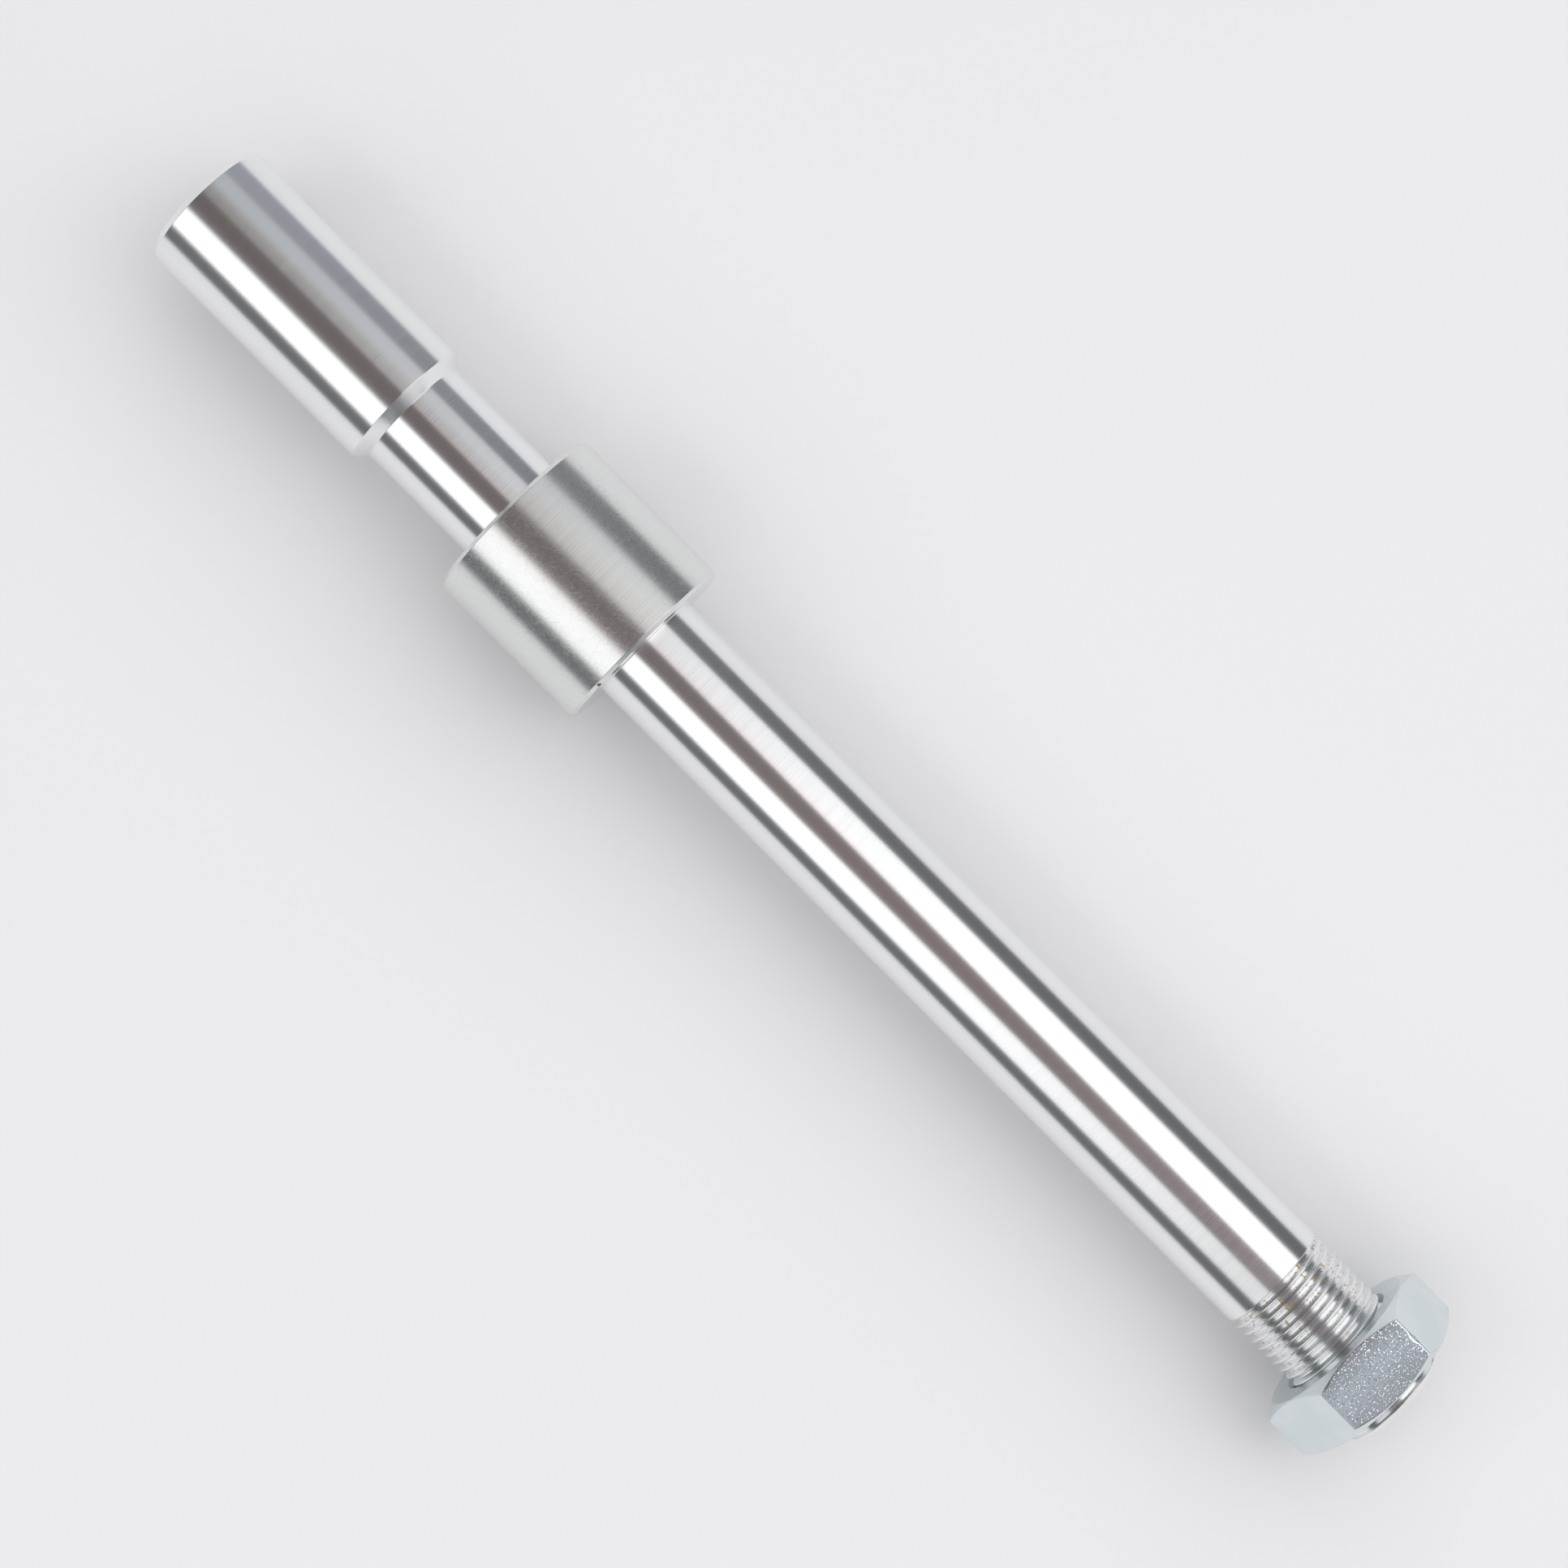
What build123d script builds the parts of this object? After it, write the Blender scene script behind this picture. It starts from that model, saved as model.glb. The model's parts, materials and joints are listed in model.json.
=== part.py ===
from build123d import *
import math
import os

# A turned aluminium spindle with a thin hexagon nut run part of the way along its thread.
# Millimetres. The spindle's axis is X. The origin is on that axis, in the plane of the collar's
# face that the long shaft leaves, and +X runs along the shaft to the threaded end.
# +Z is up when the part lies on its collar and on one flat of the nut.

INCH = 25.4

# spindle, from the free end of its head at -X to the threaded end at +X
HEAD_DIA = 0.900 * INCH
HEAD_LEN = 1.750 * INCH
HEAD_TO_COLLAR = 2.6875 * INCH
NECK_DIA = 0.750 * INCH
COLLAR_DIA = 1.250 * INCH
COLLAR_LEN = 1.150 * INCH
SHAFT_DIA = 0.750 * INCH
SHAFT_END = 165.5
HEAD_CHAMFER = 1.0
COLLAR_CHAMFER = 0.6
END_CHAMFER = 1.1

# thread: 3/4 inch across, sixteen turns to the inch, 60 degrees between its flanks
PITCH = INCH / 16
THREAD_START = 138.0
FLANK_SLOPE = math.tan(math.radians(30))
CREST_FLAT = PITCH / 8
ROOT_FLAT = PITCH / 6
CREST_R = SHAFT_DIA / 2
ROOT_R = CREST_R - (PITCH - CREST_FLAT - ROOT_FLAT) / 2 / FLANK_SLOPE
# the cutter reaches this far past the metal, and its mouth has to stay narrower than a pitch
OVERCUT = 0.15

# nut: thin, chamfered on both faces. Its hole is plain here, and clears the spindle's crests.
NUT_ACROSS_FLATS = 28.1
NUT_THICKNESS = 10.3
NUT_START = 152.4
NUT_FACE_DIA = 27.4
NUT_CHAMFER_SLOPE = math.tan(math.radians(30))
NUT_MOUTH_DIA = 20.6
THREAD_PLAY = 0.08


def revolved(points):
    """Turn a closed outline of (x, radius) points about the X axis."""
    return revolve(make_face(Polyline(*points, close=True)), axis=Axis.X, revolution_arc=360)


def helical_cut(start, end, tip_r, tip_width, mouth_r):
    """A 60 degree V cut that winds about X, tip_width wide at tip_r and wider towards mouth_r."""
    path = Pos(start, 0, 0) * Rot(0, 90, 0) * Helix(PITCH, end - start, tip_r)
    across = Plane(origin=path @ 0, x_dir=(1, 0, 0), z_dir=path % 0)
    outward = (path @ 0 - Vector(start, 0, 0)).normalized()
    rise = (mouth_r - tip_r) * across.y_dir.dot(outward)
    half_tip = tip_width / 2
    half_mouth = half_tip + abs(mouth_r - tip_r) * FLANK_SLOPE
    if 2 * half_mouth >= PITCH:
        raise ValueError("the turns of the cutter would cross each other")
    outline = Polyline(
        (-half_tip, 0), (half_tip, 0), (half_mouth, rise), (-half_mouth, rise), close=True)
    return sweep(across * make_face(outline), path=path, is_frenet=True)


def cut_thread(body, cutter, least):
    """Cut the thread. Stop if too little came off, or not just what body and cutter share."""
    threaded = body - cutter
    taken = body.volume - threaded.volume
    shared = (body & cutter).volume
    print("thread cut", round(taken, 1), "shared", round(shared, 1))
    if taken < least or abs(taken - shared) > 0.03 * taken or len(threaded.solids()) != 1:
        raise ValueError("the thread was not cut cleanly")
    return threaded


def make_blank():
    """The spindle before its thread is cut: one bar, turned down on both sides of the collar."""
    head_start = -COLLAR_LEN - HEAD_TO_COLLAR
    head_end = head_start + HEAD_LEN
    head_r = HEAD_DIA / 2
    neck_r = NECK_DIA / 2
    collar_r = COLLAR_DIA / 2
    return revolved([
        (head_start, 0),
        (head_start, head_r - HEAD_CHAMFER),
        (head_start + HEAD_CHAMFER, head_r),
        (head_end, head_r),
        (head_end + head_r - neck_r, neck_r),
        (-COLLAR_LEN, neck_r),
        (-COLLAR_LEN, collar_r - COLLAR_CHAMFER),
        (-COLLAR_LEN + COLLAR_CHAMFER, collar_r),
        (-COLLAR_CHAMFER, collar_r),
        (0, collar_r - COLLAR_CHAMFER),
        (0, CREST_R),
        (SHAFT_END - END_CHAMFER, CREST_R),
        (SHAFT_END, CREST_R - END_CHAMFER),
        (SHAFT_END, 0),
    ])


def make_spindle():
    """The turned bar with its thread cut from THREAD_START off the end."""
    cut = helical_cut(THREAD_START, SHAFT_END + PITCH, ROOT_R, ROOT_FLAT, CREST_R + OVERCUT)
    return cut_thread(make_blank(), cut, 25 * (SHAFT_END - THREAD_START))


def make_lock_nut():
    """The hexagon with both faces chamfered to a circle and both mouths of its hole countersunk."""
    corner_r = NUT_ACROSS_FLATS / math.sqrt(3)
    face_r = NUT_FACE_DIA / 2
    hole_r = CREST_R + THREAD_PLAY
    mouth_r = NUT_MOUTH_DIA / 2
    end = NUT_START + NUT_THICKNESS
    fall = (corner_r - face_r) * NUT_CHAMFER_SLOPE
    sink = mouth_r - hole_r
    turned = revolved([
        (NUT_START, mouth_r),
        (NUT_START, face_r),
        (NUT_START + fall, corner_r),
        (end - fall, corner_r),
        (end, face_r),
        (end, mouth_r),
        (end - sink, hole_r),
        (NUT_START + sink, hole_r),
    ])
    hexagon = RegularPolygon(NUT_ACROSS_FLATS / 2, 6, major_radius=False)
    prism = extrude(Plane.YZ.offset(NUT_START) * hexagon, NUT_THICKNESS)
    return prism & turned


os.makedirs("parts", exist_ok=True)
export_step(make_spindle(), "parts/spindle.step")
export_step(make_lock_nut(), "parts/lock_nut.step")
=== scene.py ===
# %% [markdown]
# # A turned spindle and its lock nut
# The object is one aluminium bar, turned down on both sides of a collar and threaded at one end,
# with a thin zinc-plated nut part of the way along the thread. The CAD frame holds every size and
# every place. This script dresses it: finer meshes with softened edges, two metals, a studio and
# a camera.

# %% The frame, and the sizes that it gives
import json
import math

import bpy
import numpy as np
from mathutils import Matrix, Vector


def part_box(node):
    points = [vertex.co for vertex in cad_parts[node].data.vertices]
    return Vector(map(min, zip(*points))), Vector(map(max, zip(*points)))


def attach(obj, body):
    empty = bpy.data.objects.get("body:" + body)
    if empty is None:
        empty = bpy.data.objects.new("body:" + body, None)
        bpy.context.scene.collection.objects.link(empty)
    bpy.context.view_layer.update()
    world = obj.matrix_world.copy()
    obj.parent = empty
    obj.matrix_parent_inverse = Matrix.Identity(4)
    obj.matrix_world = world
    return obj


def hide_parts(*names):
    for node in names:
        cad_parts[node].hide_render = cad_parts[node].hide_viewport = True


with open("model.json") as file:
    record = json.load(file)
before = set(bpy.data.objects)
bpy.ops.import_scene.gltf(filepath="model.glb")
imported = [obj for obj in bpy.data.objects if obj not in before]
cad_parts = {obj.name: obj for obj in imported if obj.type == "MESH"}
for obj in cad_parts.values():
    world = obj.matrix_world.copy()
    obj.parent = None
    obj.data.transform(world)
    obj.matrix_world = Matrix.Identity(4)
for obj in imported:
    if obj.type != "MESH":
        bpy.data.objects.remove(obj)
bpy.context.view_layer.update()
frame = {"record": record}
MM = 0.001
mounts = {mount["name"]: mount for mount in frame["record"]["mounts"]}
INCH_MM = 25.4
spindle_low, spindle_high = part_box("spindle")
nut_low, nut_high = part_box("lock_nut")
HEAD_START = spindle_low[0]
SHAFT_END = spindle_high[0]
COLLAR_R = spindle_high[2]
HEAD_R = mounts["head_journal"]["dims"]["r_mm"] * MM
SHAFT_R = mounts["shaft_journal"]["dims"]["r_mm"] * MM
THREAD_START = mounts["shaft_journal"]["dims"]["length_mm"] * MM
print("spindle", round((SHAFT_END - HEAD_START) / MM, 2), "mm long")

# %% [markdown]
# ## A rounded outline
# A lathe leaves no edge truly sharp: each one has a small radius, and that radius is what catches
# the light as a fine bright line. An outline could be beveled later by a modifier, but that breaks
# up on a helical thread. Here every corner of the turned outline is rounded before it is spun.
# A ring is also set close to each arc, so that the smooth shading of the arc stays in the arc.

# %% Round the corners of an outline
ARC_STEPS = 4
HOLD = 0.05 * MM


def rounded(points, radius):
    """The outline of (x, r) points with its inner corners rounded, as an array."""
    points = np.array(points, float)
    out = [points[0]]
    for before, corner, after in zip(points[:-2], points[1:-1], points[2:]):
        to_before = (before - corner) / np.linalg.norm(before - corner)
        to_after = (after - corner) / np.linalg.norm(after - corner)
        half = math.acos(np.clip(to_before @ to_after, -1, 1)) / 2
        reach = radius / math.tan(half)
        middle = corner + (to_before + to_after) / np.linalg.norm(to_before + to_after) * (
            radius / math.sin(half))
        first = corner + to_before * reach
        last = corner + to_after * reach
        out.append(first + to_before * HOLD)
        for share in np.linspace(0, 1, ARC_STEPS + 1):
            spoke = (first - middle) * (1 - share) + (last - middle) * share
            out.append(middle + spoke / np.linalg.norm(spoke) * radius)
        out.append(last + to_after * HOLD)
    out.append(points[-1])
    return np.array(out)


def divided(outline, longest):
    """The outline with points added, so that no run of it is longer than that."""
    out = [outline[0]]
    for start, end in zip(outline[:-1], outline[1:]):
        runs = max(1, math.ceil(np.linalg.norm(end - start) / longest))
        out.extend(start + (end - start) * step / runs for step in range(1, runs + 1))
    return np.array(out)


# %% [markdown]
# ## Spin an outline into a mesh
# Both pieces are bodies of revolution whose radius changes a little with the angle: the thread
# winds, and the hexagon has flats. A Screw modifier can only spin a fixed outline, so the rings
# are written out here as a grid of angle by outline, and the radius is a formula of the two.

# %% Make a mesh from a grid of rings
def spin_mesh(name, x_rings, r_rings, angles, closed):
    """x_rings and r_rings are (outline, angle) arrays. A closed outline joins its own end."""
    count, turn = x_rings.shape
    places = np.stack([x_rings, r_rings * np.cos(angles), r_rings * np.sin(angles)], -1)
    vertices = [tuple(place) for place in places.reshape(-1, 3)]
    faces = []
    for ring in range(count if closed else count - 1):
        near = ring * turn
        far = (ring + 1) % count * turn
        for step in range(turn):
            beyond = (step + 1) % turn
            faces.append((near + step, near + beyond, far + beyond, far + step))
    if not closed:
        for ring, flip in ((0, False), (count - 1, True)):
            pole = len(vertices)
            vertices.append((float(x_rings[ring, 0]), 0.0, 0.0))
            for step in range(turn):
                fan = (ring * turn + (step + 1) % turn, ring * turn + step, pole)
                faces.append(fan[::-1] if flip else fan)
    mesh = bpy.data.meshes.new(name)
    mesh.from_pydata(vertices, [], faces)
    mesh.shade_smooth()
    piece = bpy.data.objects.new(name, mesh)
    bpy.context.scene.collection.objects.link(piece)
    print(name, len(faces), "faces")
    return piece


# %% [markdown]
# ## The thread
# The thread is a 3/4 inch fine one with sixteen turns to the inch. Its groove has 60 degrees
# between its flanks, a narrow flat at its root and a narrow flat on its crest. The groove's middle
# moves along the bar by one pitch for each turn, so its depth at a point depends only on how far
# the point is from that middle, along the axis.

# %% The depth of the groove at a place and an angle
PITCH = INCH_MM / 16 * MM
CREST_FLAT = PITCH / 8
ROOT_FLAT = PITCH / 6
FLANK_SLOPE = math.tan(math.radians(30))
GROOVE_DEPTH = (PITCH - CREST_FLAT - ROOT_FLAT) / 2 / FLANK_SLOPE
print("groove", round(GROOVE_DEPTH / MM, 3), "mm deep")


def groove_depth(x, angle):
    """Depth of the spindle's groove, with its middle at THREAD_START straight below the axis."""
    turns = (x - THREAD_START) / PITCH - (angle + math.pi / 2) / (2 * math.pi)
    from_middle = np.abs((turns + 0.5) % 1 - 0.5) * PITCH
    return np.clip(GROOVE_DEPTH - (from_middle - ROOT_FLAT / 2) / FLANK_SLOPE, 0, GROOVE_DEPTH)


# %% [markdown]
# ## The spindle
# The outline runs from the free end of the head, down the shoulder to the neck, up over the collar
# and along the shaft. Most of it is straight and needs few rings. The thread has about 26 rings to
# each pitch. At its start the groove comes in over a short run, as where a die stops, and at its end
# the chamfer cuts through it. Two rings just before the thread keep its shading off the plain shaft.

# %% Spin the spindle
HEAD_CHAMFER = 1.0 * MM
COLLAR_CHAMFER = 0.6 * MM
END_CHAMFER = 1.1 * MM
COLLAR_START = -1.150 * INCH_MM * MM
HEAD_END = HEAD_START + 1.750 * INCH_MM * MM
POLE_R = 0.5 * MM
EDGE_R = 0.12 * MM
TURN_STEPS = 144
THREAD_STEP = 0.06 * MM
RUN_IN = 0.35 * MM
BEFORE_THREAD = THREAD_START - 0.1 * MM

plain_outline = rounded([
    (HEAD_START, POLE_R),
    (HEAD_START, HEAD_R - HEAD_CHAMFER),
    (HEAD_START + HEAD_CHAMFER, HEAD_R),
    (HEAD_END, HEAD_R),
    (HEAD_END + HEAD_R - SHAFT_R, SHAFT_R),
    (COLLAR_START, SHAFT_R),
    (COLLAR_START, COLLAR_R - COLLAR_CHAMFER),
    (COLLAR_START + COLLAR_CHAMFER, COLLAR_R),
    (-COLLAR_CHAMFER, COLLAR_R),
    (0, COLLAR_R - COLLAR_CHAMFER),
    (0, SHAFT_R),
    (THREAD_START - 0.3 * MM, SHAFT_R),
], EDGE_R)
plain_outline = np.vstack([plain_outline, (BEFORE_THREAD, SHAFT_R)])
end_outline = rounded([
    (BEFORE_THREAD, SHAFT_R),
    (SHAFT_END - END_CHAMFER, SHAFT_R),
    (SHAFT_END, SHAFT_R - END_CHAMFER),
    (SHAFT_END, POLE_R),
], EDGE_R)
threaded_part = divided(end_outline[:-1], THREAD_STEP)[1:]
spindle_outline = np.vstack([divided(plain_outline, 6 * MM), threaded_part, end_outline[-1:]])
spindle_angles = np.arange(TURN_STEPS) * 2 * math.pi / TURN_STEPS
x_rings = np.repeat(spindle_outline[:, :1], TURN_STEPS, axis=1)
r_rings = np.repeat(spindle_outline[:, 1:], TURN_STEPS, axis=1)
run_in = np.clip((x_rings - THREAD_START) / RUN_IN, 0, 1)
threaded_r = SHAFT_R - groove_depth(x_rings, spindle_angles) * run_in
r_rings = np.where(x_rings > THREAD_START, np.minimum(r_rings, threaded_r), r_rings)
spindle = spin_mesh("turned_spindle", x_rings, r_rings, spindle_angles, closed=False)
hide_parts("spindle")
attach(spindle, "spindle")

# %% [markdown]
# ## The nut
# A hexagon nut is a hexagonal bar with both ends faced and chamfered by a cone, so each flat ends
# in two shallow arcs. The nearer surface wins: at each angle the radius is the smaller of the
# cone's and the flats'. A soft minimum also rounds the edge between them, as a tumbled and plated
# nut has it. The same loop goes on through the two countersunk mouths and the threaded hole. In the
# frame the hole is plain, so this thread is made only here. It fits the spindle's thread only where
# the nut has moved by whole turns. One corner has a small nick.

# %% The hexagon's radius, and a minimum with a soft edge
ACROSS_FLATS = nut_high[2] - nut_low[2]
FLAT_R = ACROSS_FLATS / 2
CORNER_R = FLAT_R / math.cos(math.radians(30))
FLAT_EDGE_R = 0.2 * MM


def soft_minimum(one, other, width):
    overlap = np.clip(1 - np.abs(one - other) / width, 0, 1)
    return np.minimum(one, other) - overlap ** 2 * width / 4


def hexagon_radius(angle):
    """The hexagon has one flat up, so its corners are at 0, 60, 120 degrees and so on."""
    side = math.radians(60)
    within = angle % side
    one = FLAT_R / np.cos(within - side / 2)
    before = FLAT_R / np.cos(within + side / 2)
    after = FLAT_R / np.cos(within - side * 1.5)
    return soft_minimum(soft_minimum(one, before, FLAT_EDGE_R), after, FLAT_EDGE_R)


# %% Spin the nut
NUT_FACE_R = 13.7 * MM
NUT_MOUTH_R = 10.3 * MM
THREAD_PLAY = 0.08 * MM
NUT_HOLE_R = SHAFT_R - GROOVE_DEPTH + THREAD_PLAY
CHAMFER_RUN = (CORNER_R - NUT_FACE_R) * math.tan(math.radians(30))
nut_start = nut_low[0]
nut_end = nut_high[0]
sink = NUT_MOUTH_R - NUT_HOLE_R
NICK_X = 157.8 * MM
NICK_REACH = 1.1 * MM
NICK_DEPTH = 0.12 * MM
NICK_ANGLE = math.radians(60)
NICK_SPREAD = math.radians(1.1)

outer_outline = divided(rounded([
    (nut_start, NUT_MOUTH_R + 0.4 * MM),
    (nut_start, NUT_FACE_R),
    (nut_start + CHAMFER_RUN, CORNER_R),
    (nut_end - CHAMFER_RUN, CORNER_R),
    (nut_end, NUT_FACE_R),
    (nut_end, NUT_MOUTH_R + 0.4 * MM),
], 0.15 * MM), 0.12 * MM)
hole_outline = divided(rounded([
    (nut_end, NUT_MOUTH_R + 0.3 * MM),
    (nut_end, NUT_MOUTH_R),
    (nut_end - sink, NUT_HOLE_R),
    (nut_start + sink, NUT_HOLE_R),
    (nut_start, NUT_MOUTH_R),
    (nut_start, NUT_MOUTH_R + 0.3 * MM),
], 0.1 * MM), 0.16 * MM)
corner_detail = np.radians(np.concatenate([
    corner + np.linspace(-1.2, 1.2, 15) for corner in range(0, 360, 60)]))
nut_angles = np.unique(np.round(np.concatenate([
    np.radians(np.arange(0, 360, 1.6)), corner_detail % (2 * math.pi)]), 7))
nut_outline = np.vstack([outer_outline, hole_outline])
x_rings = np.repeat(nut_outline[:, :1], len(nut_angles), axis=1)
r_rings = np.repeat(nut_outline[:, 1:], len(nut_angles), axis=1)
is_outer = np.arange(len(nut_outline)) < len(outer_outline)
outside = soft_minimum(r_rings, hexagon_radius(nut_angles), 0.1 * MM)
nick_along = np.clip(1 - np.abs(x_rings - NICK_X) / NICK_REACH, 0, 1)
nick_around = np.clip(1 - np.abs(nut_angles - NICK_ANGLE) / NICK_SPREAD, 0, 1)
outside = outside - NICK_DEPTH * np.sqrt(nick_along) * nick_around
inner_thread = np.maximum(
    r_rings, SHAFT_R + THREAD_PLAY - groove_depth(x_rings, nut_angles))
r_rings = np.where(is_outer[:, None], outside, inner_thread)
lock_nut = spin_mesh("plated_lock_nut", x_rings, r_rings, nut_angles, closed=True)
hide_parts("lock_nut")
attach(lock_nut, "nut")

# %% [markdown]
# ## Shader nodes in one line
# Every finish below is built from nodes. One helper adds a node, sets its sockets and links its
# inputs, so that each finish reads as a short list of what feeds what.

# %% A helper that adds a node
def add_node(tree, kind, inputs=None, **settings):
    node = tree.nodes.new(kind)
    for name, value in settings.items():
        setattr(node, name, value)
    for name, value in (inputs or {}).items():
        if isinstance(value, bpy.types.NodeSocket):
            tree.links.new(value, node.inputs[name])
        else:
            node.inputs[name].default_value = value
    return node


def math_node(tree, operation, first, second=0.0):
    return add_node(tree, "ShaderNodeMath", {0: first, 1: second}, operation=operation).outputs[0]


def new_group(name, inputs, outputs):
    tree = bpy.data.node_groups.new(name, "ShaderNodeTree")
    for label, start in inputs.items():
        socket = tree.interface.new_socket(label, in_out="INPUT", socket_type="NodeSocketFloat")
        socket.default_value = start
    for label in outputs:
        tree.interface.new_socket(label, in_out="OUTPUT", socket_type="NodeSocketFloat")
    return tree, tree.nodes.new("NodeGroupInput"), tree.nodes.new("NodeGroupOutput")


def use_group(tree, group, inputs=None):
    node = tree.nodes.new("ShaderNodeGroup")
    node.node_tree = group
    for name, value in (inputs or {}).items():
        if isinstance(value, bpy.types.NodeSocket):
            tree.links.new(value, node.inputs[name])
        else:
            node.inputs[name].default_value = value
    return node


# %% [markdown]
# ## Where a point is on a turned piece
# Turning marks follow the tool, so they need two measures of each point: how far along the axis
# it is and how far from the axis. Object coordinates are in metres in the row's frame, so both
# come straight from them, and both metals share this group.

# %% A group that gives the place along the axis and the radius
turned_place, group_in, group_out = new_group("turned_place", {}, ["Along", "Radius", "Angle"])
coordinates = add_node(turned_place, "ShaderNodeTexCoord").outputs["Object"]
split = add_node(turned_place, "ShaderNodeSeparateXYZ", {0: coordinates})
y_squared = math_node(turned_place, "MULTIPLY", split.outputs[1], split.outputs[1])
z_squared = math_node(turned_place, "MULTIPLY", split.outputs[2], split.outputs[2])
radius = math_node(
    turned_place, "SQRT", math_node(turned_place, "ADD", y_squared, z_squared))
angle = math_node(turned_place, "ARCTAN2", split.outputs[2], split.outputs[1])
turned_place.links.new(split.outputs[0], group_out.inputs["Along"])
turned_place.links.new(radius, group_out.inputs["Radius"])
turned_place.links.new(angle, group_out.inputs["Angle"])

# %% [markdown]
# ## Turning lines
# The tool leaves a very fine groove at each turn of the work, and no two are the same depth. They
# spread a reflection along the bar but leave it sharp across the bar. A one-dimensional noise of
# the tool's travel gives both: it only changes along the axis, or with the radius on a face.

# %% A group that gives the height of turning lines
turning_lines, group_in, group_out = new_group(
    "turning_lines", {"Lines per mm": 6.0, "Coarse share": 0.3}, ["Height"])
place = use_group(turning_lines, turned_place)
FACE_TRAVEL = 1.7
COARSE_STEP = 0.13
COARSE_WEIGHT = 6.0
travel = math_node(turning_lines, "ADD", place.outputs["Along"], math_node(
    turning_lines, "MULTIPLY", place.outputs["Radius"], FACE_TRAVEL))
per_metre = math_node(turning_lines, "MULTIPLY", group_in.outputs["Lines per mm"], 1 / MM)
fine = add_node(turning_lines, "ShaderNodeTexNoise", {
    "W": math_node(turning_lines, "MULTIPLY", travel, per_metre),
    "Scale": 1.0, "Detail": 2.0, "Roughness": 0.7}, noise_dimensions="1D").outputs["Fac"]
coarse = add_node(turning_lines, "ShaderNodeTexNoise", {
    "W": math_node(turning_lines, "MULTIPLY", travel, math_node(
        turning_lines, "MULTIPLY", per_metre, COARSE_STEP)),
    "Scale": 1.0, "Detail": 1.0}, noise_dimensions="1D").outputs["Fac"]
height = math_node(turning_lines, "ADD", fine, math_node(
    turning_lines, "MULTIPLY", coarse, math_node(
        turning_lines, "MULTIPLY", group_in.outputs["Coarse share"], COARSE_WEIGHT)))
turning_lines.links.new(height, group_out.inputs["Height"])

# %% [markdown]
# ## Handling scratches and mottle
# The collar was left as the bar came from the mill, and it has been handled: hair scratches run in
# all directions over a mottled skin. Stretched noise, laid in two slanting directions over the
# unrolled surface, makes the scratches. A soft noise makes the mottle.

# %% A group that gives scratches and mottle
handling, group_in, group_out = new_group(
    "handling_marks", {"Scratches per mm": 1.5, "Mottle size mm": 3.0}, ["Scratches", "Mottle"])
place = use_group(handling, turned_place)
around = math_node(
    handling, "MULTIPLY", place.outputs["Angle"], place.outputs["Radius"])
scratch_scale = math_node(handling, "MULTIPLY", group_in.outputs["Scratches per mm"], 1 / MM)
SCRATCH_STRETCH = 0.07
scratch_sum = None
for slant in (0.35, -0.9, 2.2):
    along_scratch = math_node(handling, "ADD", math_node(
        handling, "MULTIPLY", around, math.cos(slant)), math_node(
        handling, "MULTIPLY", place.outputs["Along"], math.sin(slant)))
    across_scratch = math_node(handling, "SUBTRACT", math_node(
        handling, "MULTIPLY", place.outputs["Along"], math.cos(slant)), math_node(
        handling, "MULTIPLY", around, math.sin(slant)))
    lay = add_node(handling, "ShaderNodeCombineXYZ", {
        0: math_node(handling, "MULTIPLY", along_scratch, SCRATCH_STRETCH),
        1: across_scratch, 2: slant})
    noise = add_node(handling, "ShaderNodeTexNoise", {
        "Vector": lay.outputs[0], "Scale": scratch_scale, "Detail": 1.0}).outputs["Fac"]
    line = add_node(handling, "ShaderNodeMapRange", {
        "Value": noise, "From Min": 0.64, "From Max": 0.72}).outputs[0]
    scratch_sum = line if scratch_sum is None else math_node(
        handling, "MAXIMUM", scratch_sum, line)
mottle_scale = math_node(handling, "DIVIDE", 1 / MM, group_in.outputs["Mottle size mm"])
coordinates = add_node(handling, "ShaderNodeTexCoord").outputs["Object"]
mottle = add_node(handling, "ShaderNodeTexNoise", {
    "Vector": coordinates, "Scale": mottle_scale, "Detail": 4.0, "Roughness": 0.65}).outputs["Fac"]
handling.links.new(scratch_sum, group_out.inputs["Scratches"])
handling.links.new(mottle, group_out.inputs["Mottle"])


# %% [markdown]
# ## The turned aluminium
# Freshly turned aluminium is nearly a mirror with a grain. The collar is a little duller than the
# turned runs, golden-brown dirt sits in the thread's first turns, and a small dark spot is painted
# on the collar's edge. Masks of the radius and of the place along the axis choose between these.

# %% The aluminium material
def new_material(name):
    material = bpy.data.materials.new(name)
    material.use_nodes = True
    return material, material.node_tree, material.node_tree.nodes["Principled BSDF"]


def ramp_node(tree, value, low, high, to_low=0.0, to_high=1.0):
    return add_node(tree, "ShaderNodeMapRange", {
        "Value": value, "From Min": low, "From Max": high,
        "To Min": to_low, "To Max": to_high}).outputs[0]


turned, tree, shader = new_material("turned_aluminium")
place = use_group(tree, turned_place)
lines = use_group(tree, turning_lines, {"Lines per mm": 3.6, "Coarse share": 0.35})
marks = use_group(tree, handling, {"Scratches per mm": 5.0, "Mottle size mm": 0.5})
on_collar = ramp_node(tree, place.outputs["Radius"], COLLAR_R - 0.9 * MM, COLLAR_R - 0.5 * MM)
in_thread = ramp_node(tree, place.outputs["Along"], THREAD_START, THREAD_START + 0.3 * MM)
in_groove = ramp_node(tree, place.outputs["Radius"], SHAFT_R - 0.1 * MM, SHAFT_R - 0.6 * MM)

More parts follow.
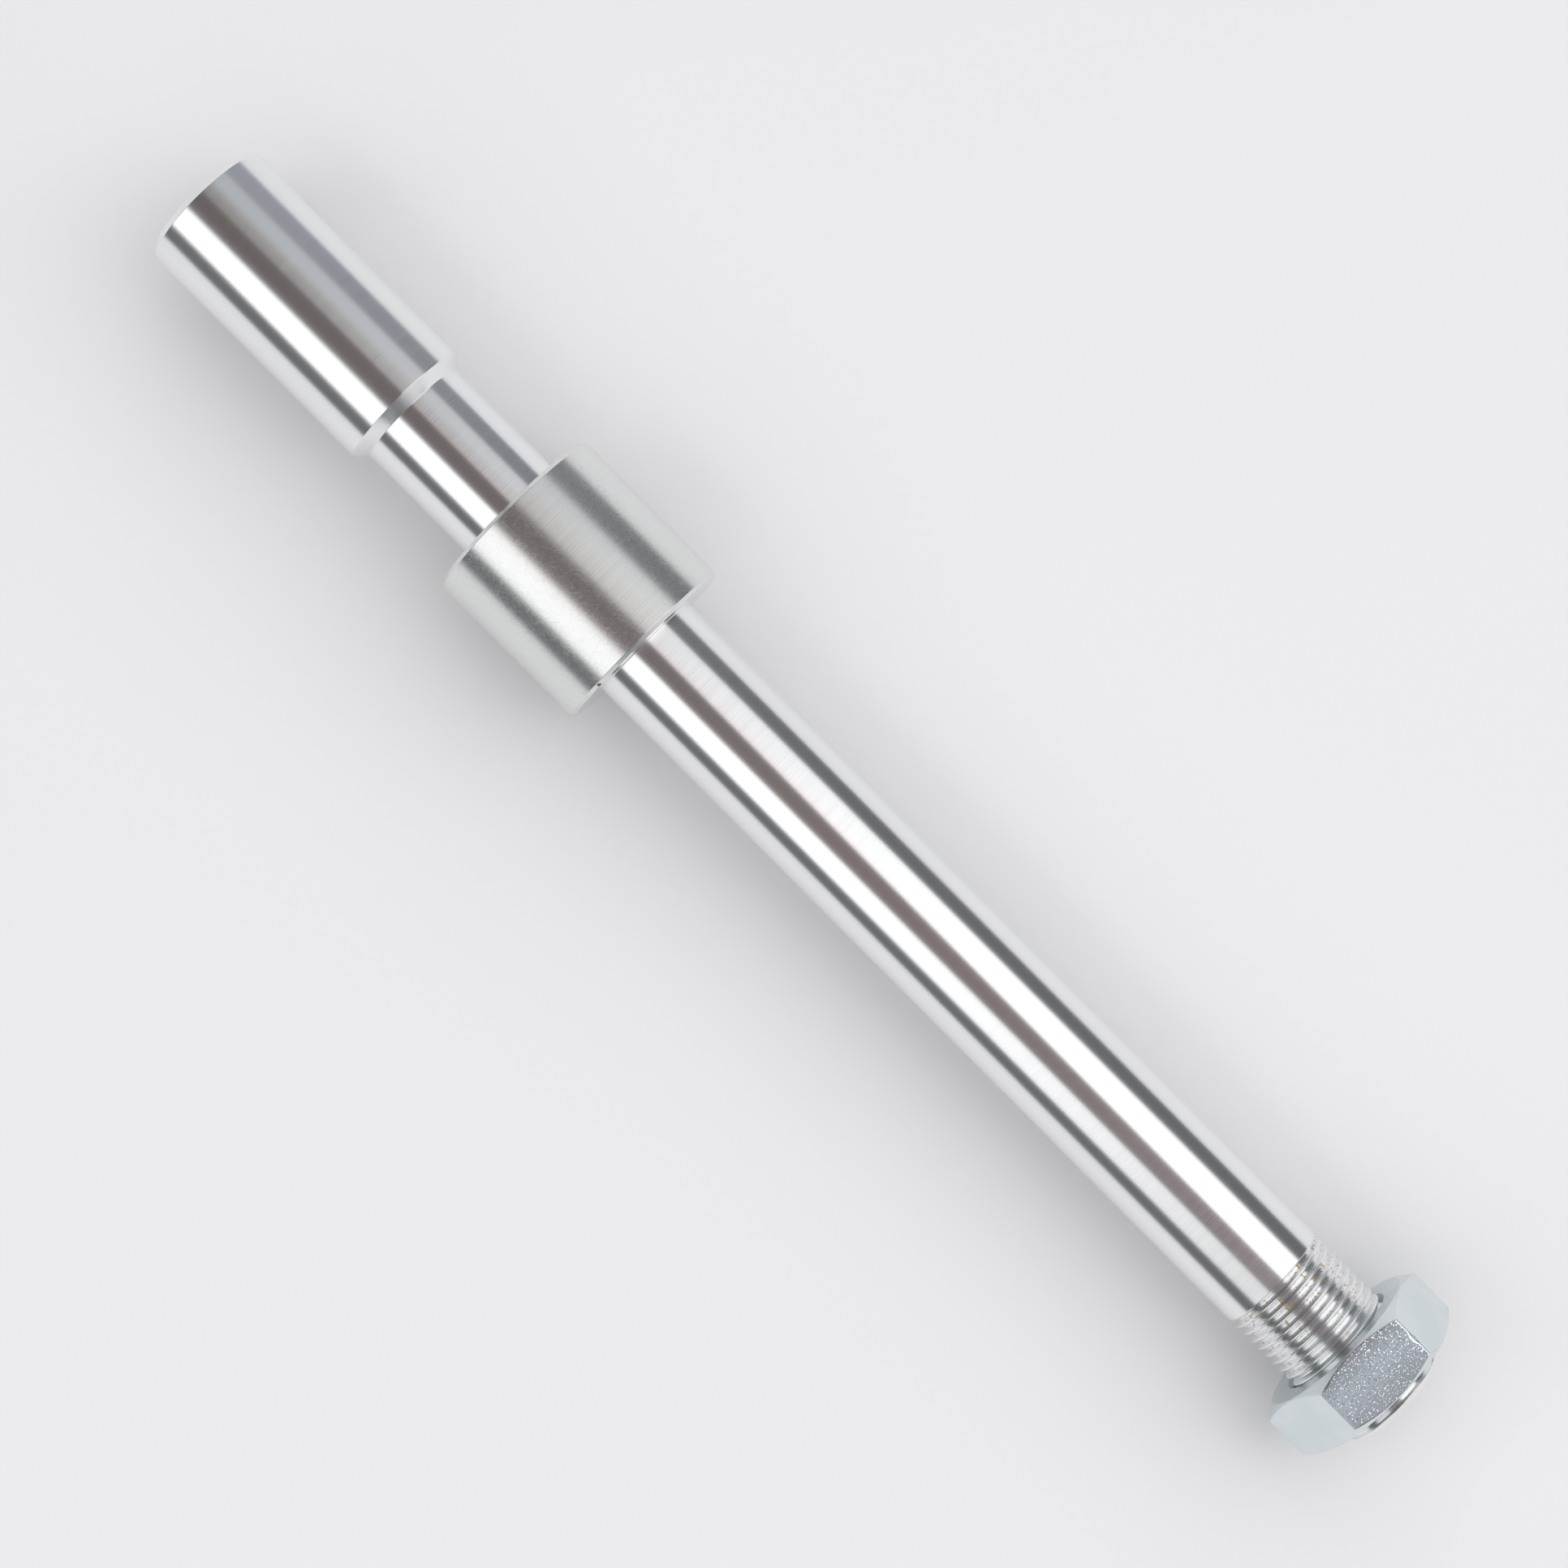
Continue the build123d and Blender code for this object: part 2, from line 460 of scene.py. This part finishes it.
mottled = ramp_node(tree, marks.outputs["Mottle"], 0.35, 0.7, -0.03, 0.04)
scratched = math_node(tree, "MULTIPLY", marks.outputs["Scratches"], 0.05)
collar_wear = math_node(tree, "MULTIPLY", on_collar, math_node(
    tree, "ADD", math_node(tree, "ADD", mottled, scratched), 0.045))
roughness = math_node(tree, "ADD", 0.19, collar_wear)
tree.links.new(roughness, shader.inputs["Roughness"])

dirt_noise = add_node(tree, "ShaderNodeTexNoise", {
    "Vector": add_node(tree, "ShaderNodeTexCoord").outputs["Object"],
    "Scale": 1500.0, "Detail": 2.0}).outputs["Fac"]
dirt_reach = ramp_node(tree, place.outputs["Along"], SHAFT_END - 12 * MM, SHAFT_END - 22 * MM)
dirt = math_node(tree, "MULTIPLY", ramp_node(tree, dirt_noise, 0.615, 0.66), math_node(
    tree, "MULTIPLY", math_node(tree, "MULTIPLY", in_thread, in_groove), dirt_reach))
skin = add_node(tree, "ShaderNodeMix", {
    "Factor": on_collar, "A": (0.89, 0.895, 0.90, 1), "B": (0.79, 0.795, 0.785, 1)},
    data_type="RGBA").outputs["Result"]
# A small near-black spot is painted into the colour around this one point on the collar's edge.
DARK_SPOT = (-0.1 * MM, -9.8 * MM, 12.1 * MM)
from_dark_spot = add_node(tree, "ShaderNodeVectorMath", {
    0: add_node(tree, "ShaderNodeTexCoord").outputs["Object"], 1: DARK_SPOT}, operation="DISTANCE")
dark_spotted = add_node(tree, "ShaderNodeMix", {
    "Factor": ramp_node(tree, from_dark_spot.outputs["Value"], 0.55 * MM, 0.25 * MM), "A": skin,
    "B": (0.12, 0.09, 0.08, 1)}, data_type="RGBA").outputs["Result"]
colour = add_node(tree, "ShaderNodeMix", {
    "Factor": dirt, "A": dark_spotted, "B": (0.50, 0.36, 0.13, 1)}, data_type="RGBA")
tree.links.new(colour.outputs["Result"], shader.inputs["Base Color"])
metallic = math_node(tree, "SUBTRACT", 1.0, math_node(tree, "MULTIPLY", dirt, 0.6))
tree.links.new(metallic, shader.inputs["Metallic"])
LINE_HEIGHT = 0.0052 * MM
MARK_HEIGHT = 0.0005 * MM
line_bump = add_node(tree, "ShaderNodeBump", {
    "Height": lines.outputs["Height"], "Strength": 1.0, "Distance": LINE_HEIGHT})
mark_bump = add_node(tree, "ShaderNodeBump", {
    "Height": math_node(tree, "MULTIPLY", on_collar, math_node(
        tree, "ADD", marks.outputs["Scratches"], marks.outputs["Mottle"])),
    "Strength": 1.0, "Distance": MARK_HEIGHT, "Normal": line_bump.outputs[0]})
tree.links.new(mark_bump.outputs[0], shader.inputs["Normal"])
spindle.data.materials.append(turned)

# %% [markdown]
# ## The zinc plating
# Bright zinc is a pale metal with a cold green-blue cast that drifts a little over the surface.
# The nut's flats come from drawn bar and keep its fine pits, which sparkle where they face a lamp.
# The pits are finer than a bump can hold at this size, so the normal itself is tilted in them.
# The chamfers and faces were cut, so the pits stop there.

# %% The zinc material
zinc, tree, shader = new_material("zinc_plated_steel")
place = use_group(tree, turned_place)
coordinates = add_node(tree, "ShaderNodeTexCoord").outputs["Object"]
facing = add_node(tree, "ShaderNodeSeparateXYZ", {
    0: add_node(tree, "ShaderNodeNewGeometry").outputs["Normal"]}).outputs[0]
on_flat = math_node(tree, "MULTIPLY", ramp_node(
    tree, math_node(tree, "ABSOLUTE", facing), 0.3, 0.1), ramp_node(
    tree, place.outputs["Radius"], NUT_FACE_R, FLAT_R - 0.1 * MM))
pit_noise = add_node(tree, "ShaderNodeTexNoise", {
    "Vector": coordinates, "Scale": 3600.0, "Detail": 1.0, "Roughness": 0.5})
pits = math_node(tree, "MULTIPLY", on_flat, ramp_node(tree, pit_noise.outputs["Fac"], 0.50, 0.60))
tint_noise = add_node(tree, "ShaderNodeTexNoise", {
    "Vector": coordinates, "Scale": 130.0, "Detail": 2.0}).outputs["Fac"]
colour = add_node(tree, "ShaderNodeMix", {
    "Factor": ramp_node(tree, tint_noise, 0.35, 0.65),
    "A": (0.69, 0.76, 0.76, 1), "B": (0.76, 0.80, 0.83, 1)}, data_type="RGBA")
tree.links.new(colour.outputs["Result"], shader.inputs["Base Color"])
shader.inputs["Metallic"].default_value = 1
tree.links.new(ramp_node(tree, on_flat, 0, 1, 0.3, 0.04), shader.inputs["Roughness"])
PIT_TILT = 0.55
lean = add_node(tree, "ShaderNodeVectorMath", {
    0: pit_noise.outputs["Color"], 1: (0.5, 0.5, 0.5)}, operation="SUBTRACT").outputs[0]
tilt = add_node(tree, "ShaderNodeVectorMath", {
    0: lean, "Scale": math_node(tree, "MULTIPLY", pits, PIT_TILT)}, operation="SCALE").outputs[0]
pitted = add_node(tree, "ShaderNodeVectorMath", {
    0: add_node(tree, "ShaderNodeNewGeometry").outputs["Normal"], 1: tilt}, operation="ADD")
tree.links.new(add_node(tree, "ShaderNodeVectorMath", {
    0: pitted.outputs[0]}, operation="NORMALIZE").outputs[0], shader.inputs["Normal"])
lock_nut.data.materials.append(zinc)

# %% [markdown]
# ## The studio
# Bright metal has almost no colour of its own: it shows the room. Each turned run mirrors the white
# floor at its two rims, a long softbox on each side of its crown, and the dark room between.
# Area lamps are those softboxes, and the world is that dark room.

# %% The floor that the part lies on
nut_rest = nut_high[0]
LEAN = math.asin((nut_low[2] + COLLAR_R) / nut_rest)
HALF_FLOOR = 4.0
floor_mesh = bpy.data.meshes.new("floor")
floor_mesh.from_pydata(
    [(-HALF_FLOOR, -HALF_FLOOR, 0), (HALF_FLOOR, -HALF_FLOOR, 0),
     (HALF_FLOOR, HALF_FLOOR, 0), (-HALF_FLOOR, HALF_FLOOR, 0)], [], [(0, 1, 2, 3)])
floor = bpy.data.objects.new("floor", floor_mesh)
bpy.context.scene.collection.objects.link(floor)
floor.location = (0, 0, -COLLAR_R)
floor.rotation_euler = (0, -LEAN, 0)
paper, tree, shader = new_material("white_paper")
shader.inputs["Base Color"].default_value = (0.80, 0.80, 0.81, 1)
shader.inputs["Roughness"].default_value = 0.8
shader.inputs["Specular IOR Level"].default_value = 0.1
floor_mesh.materials.append(paper)
print("the part leans", round(math.degrees(LEAN), 2), "degrees")


# %% [markdown]
# ## Softboxes that fade along their length
# A softbox is brightest near its tube and fades towards its ends, and a bright bar shows that as a
# stripe that dims along it. A lamp's own nodes can do this: the Parametric output of Geometry runs
# from 0 to 1 along the lamp. The fill lights only the floor, so no mirror shows it.

# %% Two softboxes and a fill
def softbox(name, middle, reach, length, width, radiance, place=0.0):
    """A long lamp whose middle is that many degrees from straight up, towards -Y."""
    light = bpy.data.lights.new(name, "AREA")
    light.shape = "RECTANGLE"
    light.size = length
    light.size_y = width
    light.energy = radiance * math.pi * length * width
    box = bpy.data.objects.new(name, light)
    bpy.context.scene.collection.objects.link(box)
    box.visible_camera = False
    turn = math.radians(middle)
    box.location = (place, -reach * math.sin(turn), reach * math.cos(turn))
    box.rotation_euler = (turn, 0, 0)
    return box


def fade_along(box, stops):
    """stops are (x in metres, share of the full strength) pairs along the lamp."""
    light = box.data
    light.use_nodes = True
    tree = light.node_tree
    emission = tree.nodes["Emission"]
    spot = add_node(tree, "ShaderNodeNewGeometry").outputs["Parametric"]
    ramp = add_node(tree, "ShaderNodeValToRGB", {
        0: add_node(tree, "ShaderNodeSeparateXYZ", {0: spot}).outputs[0]})
    elements = ramp.color_ramp.elements
    elements.remove(elements[1])
    for index, (x, share) in enumerate(stops):
        position = (x - box.location.x) / light.size + 0.5
        element = elements[0] if index == 0 else elements.new(position)
        element.position = position
        element.color = (share, share, share, 1)
    tree.links.new(ramp.outputs["Color"], emission.inputs["Strength"])


left_box = softbox("softbox_left", 45.5, 0.9, 1.6, 0.62, 1.14)
fade_along(left_box, [(-0.7, 1.0), (0.1, 1.0), (0.2, 0.8), (0.3, 0.55), (0.5, 0.4)])
right_box = softbox("softbox_right", -31.5, 0.9, 1.6, 0.80, 1.14)
fade_along(right_box, [(-0.5, 0.02), (-0.25, 0.14), (-0.12, 0.34), (0.0, 0.72), (0.12, 1.0)])
fill = softbox("fill", -14, 2.0, 5.5, 5.5, 0.72, place=0.3)
fill.visible_glossy = False

# %% [markdown]
# ## The dark room
# Between the lamps the bar mirrors the room: slate walls, a warmer patch straight above with a pale
# band across it, and a paler wall beyond the head. Low down at both ends the room is bright on the +Y
# side, and the cone mirrors that. The world's own direction picks between them.

# %% The room as the world
world = bpy.data.worlds.new("room")
bpy.context.scene.world = world
world.use_nodes = True
tree = world.node_tree
look = add_node(tree, "ShaderNodeSeparateXYZ", {
    0: add_node(tree, "ShaderNodeTexCoord").outputs["Generated"]})
overhead = ramp_node(tree, look.outputs[2], 0.82, 0.93)
past_head = math_node(tree, "MULTIPLY", ramp_node(tree, look.outputs[0], -0.03, -0.2), ramp_node(
    tree, look.outputs[1], 0.0, 0.3))
past_nut = math_node(tree, "MULTIPLY", ramp_node(tree, look.outputs[0], 0.200, 0.205), ramp_node(
    tree, look.outputs[0], 0.206, 0.213, 1.0, 0.45))
far_end = ramp_node(tree, math_node(tree, "ABSOLUTE", look.outputs[0]), 0.45, 0.7)
low_down = math_node(tree, "MULTIPLY", far_end, math_node(
    tree, "MULTIPLY", ramp_node(tree, look.outputs[1], -0.1, 0.2), ramp_node(
        tree, look.outputs[2], 0.55, 0.35)))
walls = add_node(tree, "ShaderNodeMix", {
    "Factor": past_head, "A": (0.125, 0.13, 0.138, 1), "B": (0.34, 0.355, 0.39, 1)},
    data_type="RGBA").outputs["Result"]
warm = add_node(tree, "ShaderNodeMix", {
    "Factor": ramp_node(tree, look.outputs[0], -0.15, 0.08),
    "A": (0.135, 0.12, 0.115, 1), "B": (0.215, 0.165, 0.165, 1)},
    data_type="RGBA").outputs["Result"]
ceiling = add_node(tree, "ShaderNodeMix", {
    "Factor": past_nut, "A": warm, "B": (0.66, 0.70, 0.78, 1)}, data_type="RGBA").outputs["Result"]
room = add_node(tree, "ShaderNodeMix", {
    "Factor": overhead, "A": walls, "B": ceiling}, data_type="RGBA").outputs["Result"]
lit_room = add_node(tree, "ShaderNodeMix", {
    "Factor": low_down, "A": room, "B": (0.80, 0.80, 0.80, 1)}, data_type="RGBA").outputs["Result"]
tree.links.new(lit_room, tree.nodes["Background"].inputs["Color"])

# %% [markdown]
# ## The camera
# The camera looks almost straight down, three degrees off upright, and is turned so that the axis
# runs from the upper left to the lower right.

# %% Place the camera
TARGET = Vector((0.0304, 0.0002, 0.0))
DISTANCE = 0.613
CAMERA_TILT = math.radians(2.9)
CAMERA_TURN = math.radians(45.16)
camera_data = bpy.data.cameras.new("camera")
camera = bpy.data.objects.new("camera", camera_data)
bpy.context.scene.collection.objects.link(camera)
camera_data.sensor_width = 36
camera_data.lens = 90.4
away = Vector((0, -math.sin(CAMERA_TILT), math.cos(CAMERA_TILT)))
along = Vector((1, 0, 0))
across = away.cross(along)
right = along * math.cos(CAMERA_TURN) + across * math.sin(CAMERA_TURN)
up = across * math.cos(CAMERA_TURN) - along * math.sin(CAMERA_TURN)
aim = Matrix((right, up, away)).transposed().to_4x4()
camera.matrix_world = Matrix.Translation(TARGET + away * DISTANCE) @ aim
bpy.context.scene.camera = camera
bpy.context.scene.view_settings.view_transform = "Standard"
